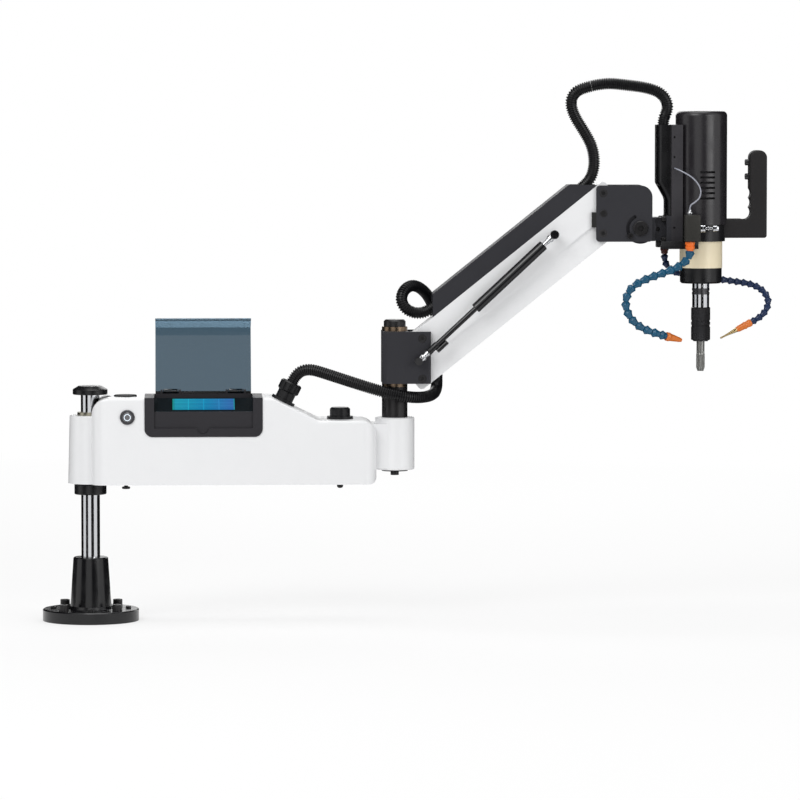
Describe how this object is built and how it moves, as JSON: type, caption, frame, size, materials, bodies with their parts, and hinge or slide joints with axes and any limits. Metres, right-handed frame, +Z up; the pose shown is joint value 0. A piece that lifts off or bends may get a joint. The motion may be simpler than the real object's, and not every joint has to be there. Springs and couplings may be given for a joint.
{
  "type": "arm tapping machine",
  "caption": "Pedestal-mounted swing arm with a sprung parallelogram that carries a tilting electric tapping head, grip handle, coolant hoses and a console under a clear lid.",
  "frame": {"origin": "centre of the underside of the pedestal flange, on the column axis", "axes": "+Z up the column, +X along the stretched arm to the tapping head, -Y the near side"},
  "size_m": [1.3716, 0.1922, 1.0334],
  "materials": {
    "pedestal": "black satin paint",
    "base_screws": "black oxide",
    "column": "hard chrome",
    "column_cap": "black satin",
    "lock_collar": "black anodised",
    "arm_housing": "white paint",
    "bottom_cover": "white paint",
    "case_plugs": "matte black",
    "column_bushes": "bronze",
    "power_button_ring": "chromed",
    "power_button": "lit white",
    "cable_glands": "black nylon",
    "drive_units": "dark",
    "console_bezel": "dark grey",
    "control_panel": "black",
    "display": "blue screen",
    "console_lid": "smoky clear",
    "elbow_shaft": "black",
    "elbow_caps": "black",
    "elbow_block": "dark grey anodised",
    "elbow_bushes": "bronze",
    "elbow_pins": "steel",
    "upper_link": "white paint",
    "cable_cover": "dark grey paint",
    "link_stud": "steel",
    "lower_link": "white paint",
    "strut_rod": "polished",
    "strut_cylinder": "black gloss paint",
    "side_plates": "dark grey",
    "head_pins": "dark steel",
    "frame_blocks": "black",
    "tilt_bracket": "dark grey",
    "head_screws": "black oxide",
    "carrier_plate": "grey anodised",
    "conduit_housing": "black paint",
    "motor_cover": "black paint",
    "servo_motor": "dark",
    "motor_flange": "black anodised",
    "spindle_housing": "cream",
    "spindle_bearings": "bearing steel",
    "nose_ring": "black anodised",
    "spindle": "ground steel",
    "chuck_inserts": "dark steel",
    "tap": "bright steel",
    "chuck_sleeve": "black oxide",
    "handle": "black",
    "start_button": "black",
    "reverse_button": "black",
    "lubricator": "grey cast",
    "needle_knob": "chromed",
    "hose_fittings": "orange",
    "hose_nozzles": "orange",
    "conduit_elbow": "black nylon",
    "conduit_loop": "black nylon",
    "conduit_inner": "black nylon",
    "conduit_rise": "black nylon",
    "conduit_top": "black nylon",
    "hose_near": "blue",
    "hose_far": "blue",
    "oil_tube": "clear"
  },
  "bodies": {
    "base": {"pedestal": "pedestal", "base_screws": "base_screws", "column": "column", "column_cap": "column_cap"},
    "height_collar": {"lock_collar": "lock_collar"},
    "base_arm": {"arm_housing": "arm_housing", "bottom_cover": "bottom_cover", "case_plugs": "case_plugs", "column_bushes": "column_bushes", "power_button_ring": "power_button_ring", "cable_glands": "cable_glands", "drive_units": "drive_units", "console_bezel": "console_bezel", "control_panel": "control_panel", "display": "display", "elbow_shaft": "elbow_shaft", "elbow_caps": "elbow_caps", "conduit_elbow": "conduit_elbow"},
    "lid": {"console_lid": "console_lid"},
    "power_switch": {"power_button": "power_button"},
    "elbow": {"elbow_block": "elbow_block", "elbow_bushes": "elbow_bushes", "elbow_pins": "elbow_pins", "conduit_loop": "conduit_loop"},
    "upper_arm": {"upper_link": "upper_link", "cable_cover": "cable_cover", "link_stud": "link_stud", "conduit_inner": "conduit_inner", "conduit_rise": "conduit_rise"},
    "lower_arm": {"lower_link": "lower_link"},
    "strut_rod_body": {"strut_rod": "strut_rod"},
    "strut_cylinder_body": {"strut_cylinder": "strut_cylinder"},
    "head_frame": {"side_plates": "side_plates", "head_pins": "head_pins", "frame_blocks": "frame_blocks", "conduit_top": "conduit_top"},
    "head": {"tilt_bracket": "tilt_bracket", "head_screws": "head_screws", "carrier_plate": "carrier_plate", "conduit_housing": "conduit_housing", "motor_cover": "motor_cover", "servo_motor": "servo_motor", "motor_flange": "motor_flange", "spindle_housing": "spindle_housing", "spindle_bearings": "spindle_bearings", "nose_ring": "nose_ring", "handle": "handle", "lubricator": "lubricator", "hose_fittings": "hose_fittings", "hose_nozzles": "hose_nozzles", "hose_near": "hose_near", "hose_far": "hose_far", "oil_tube": "oil_tube"},
    "spindle_body": {"spindle": "spindle", "chuck_inserts": "chuck_inserts", "tap": "tap"},
    "sleeve": {"chuck_sleeve": "chuck_sleeve"},
    "start_switch": {"start_button": "start_button"},
    "reverse_switch": {"reverse_button": "reverse_button"},
    "needle": {"needle_knob": "needle_knob"}
  },
  "joints": [
    {"name": "height_slide", "type": "slide", "parent": "base", "child": "height_collar", "axis": [0, 0, 1], "range_m": [-0.114, 0.003]},
    {"name": "base_swing", "type": "hinge", "parent": "height_collar", "child": "base_arm", "pos_m": [0, 0, 0.3], "axis": [0, 0, 1], "range_deg": [-170, 170]},
    {"name": "lid_hinge", "type": "hinge", "parent": "base_arm", "child": "lid", "pos_m": [0.2117, 0.061, 0.425], "axis": [1, 0, 0], "range_deg": [0, 109]},
    {"name": "power_press", "type": "slide", "parent": "base_arm", "child": "power_switch", "axis": [0, 1, 0], "range_m": [0, 0.0025], "stiffness_N_per_m": 600, "springref_m": -0.002},
    {"name": "elbow_swing", "type": "hinge", "parent": "base_arm", "child": "elbow", "pos_m": [0.57, 0, 0.49], "axis": [0, 0, 1], "range_deg": [-140, 140], "deforming": ["conduit_elbow", "conduit_loop"]},
    {"name": "arm_lift", "type": "hinge", "parent": "elbow", "child": "upper_arm", "pos_m": [0.62, 0, 0.529], "axis": [0, -1, 0], "range_deg": [-45, 12], "deforming": ["conduit_loop", "conduit_rise"]},
    {"name": "lower_lift", "type": "hinge", "parent": "elbow", "child": "lower_arm", "pos_m": [0.62, 0, 0.454], "axis": [0, -1, 0], "range_deg": [-45.5, 12.5]},
    {"name": "strut_swing", "type": "hinge", "parent": "elbow", "child": "strut_rod_body", "pos_m": [0.61275, -0.057, 0.4873], "axis": [0, -1, 0], "range_deg": [-43, 12.5]},
    {"name": "strut_stroke", "type": "slide", "parent": "strut_rod_body", "child": "strut_cylinder_body", "axis": [0.7316, 0, 0.6817], "range_m": [-0.029, 0.008]},
    {"name": "head_level", "type": "hinge", "parent": "upper_arm", "child": "head_frame", "pos_m": [0.95793, 0, 0.79973], "axis": [0, -1, 0], "range_deg": [-12.5, 45.5], "deforming": ["conduit_rise", "conduit_top"]},
    {"name": "head_tilt", "type": "hinge", "parent": "head_frame", "child": "head", "pos_m": [1.028, 0, 0.734], "axis": [0, 1, 0], "range_deg": [0, 55], "deforming": ["conduit_top"]},
    {"name": "spindle_turn", "type": "hinge", "parent": "head", "child": "spindle_body", "pos_m": [1.145, 0, 0.6], "axis": [0, 0, 1], "continuous": true},
    {"name": "sleeve_slide", "type": "slide", "parent": "spindle_body", "child": "sleeve", "axis": [0, 0, 1], "range_m": [0, 0.006], "stiffness_N_per_m": 600, "springref_m": -0.004},
    {"name": "start_press", "type": "slide", "parent": "head", "child": "start_switch", "axis": [1, 0, 0], "range_m": [0, 0.003], "stiffness_N_per_m": 400, "springref_m": -0.002},
    {"name": "reverse_press", "type": "slide", "parent": "head", "child": "reverse_switch", "axis": [1, 0, 0], "range_m": [0, 0.003], "stiffness_N_per_m": 400, "springref_m": -0.002},
    {"name": "needle_turn", "type": "hinge", "parent": "head", "child": "needle", "pos_m": [1.15, -0.066, 0.7345], "axis": [1, 0, 0], "continuous": true}
  ],
  "couplings": [
    {"joint": "lower_lift", "follows": "arm_lift", "ratio": 1},
    {"joint": "strut_swing", "follows": "arm_lift", "ratio": 0.925},
    {"joint": "strut_stroke", "follows": "arm_lift", "m_per_rad": 0.032},
    {"joint": "head_level", "follows": "arm_lift", "ratio": -1}
  ]
}
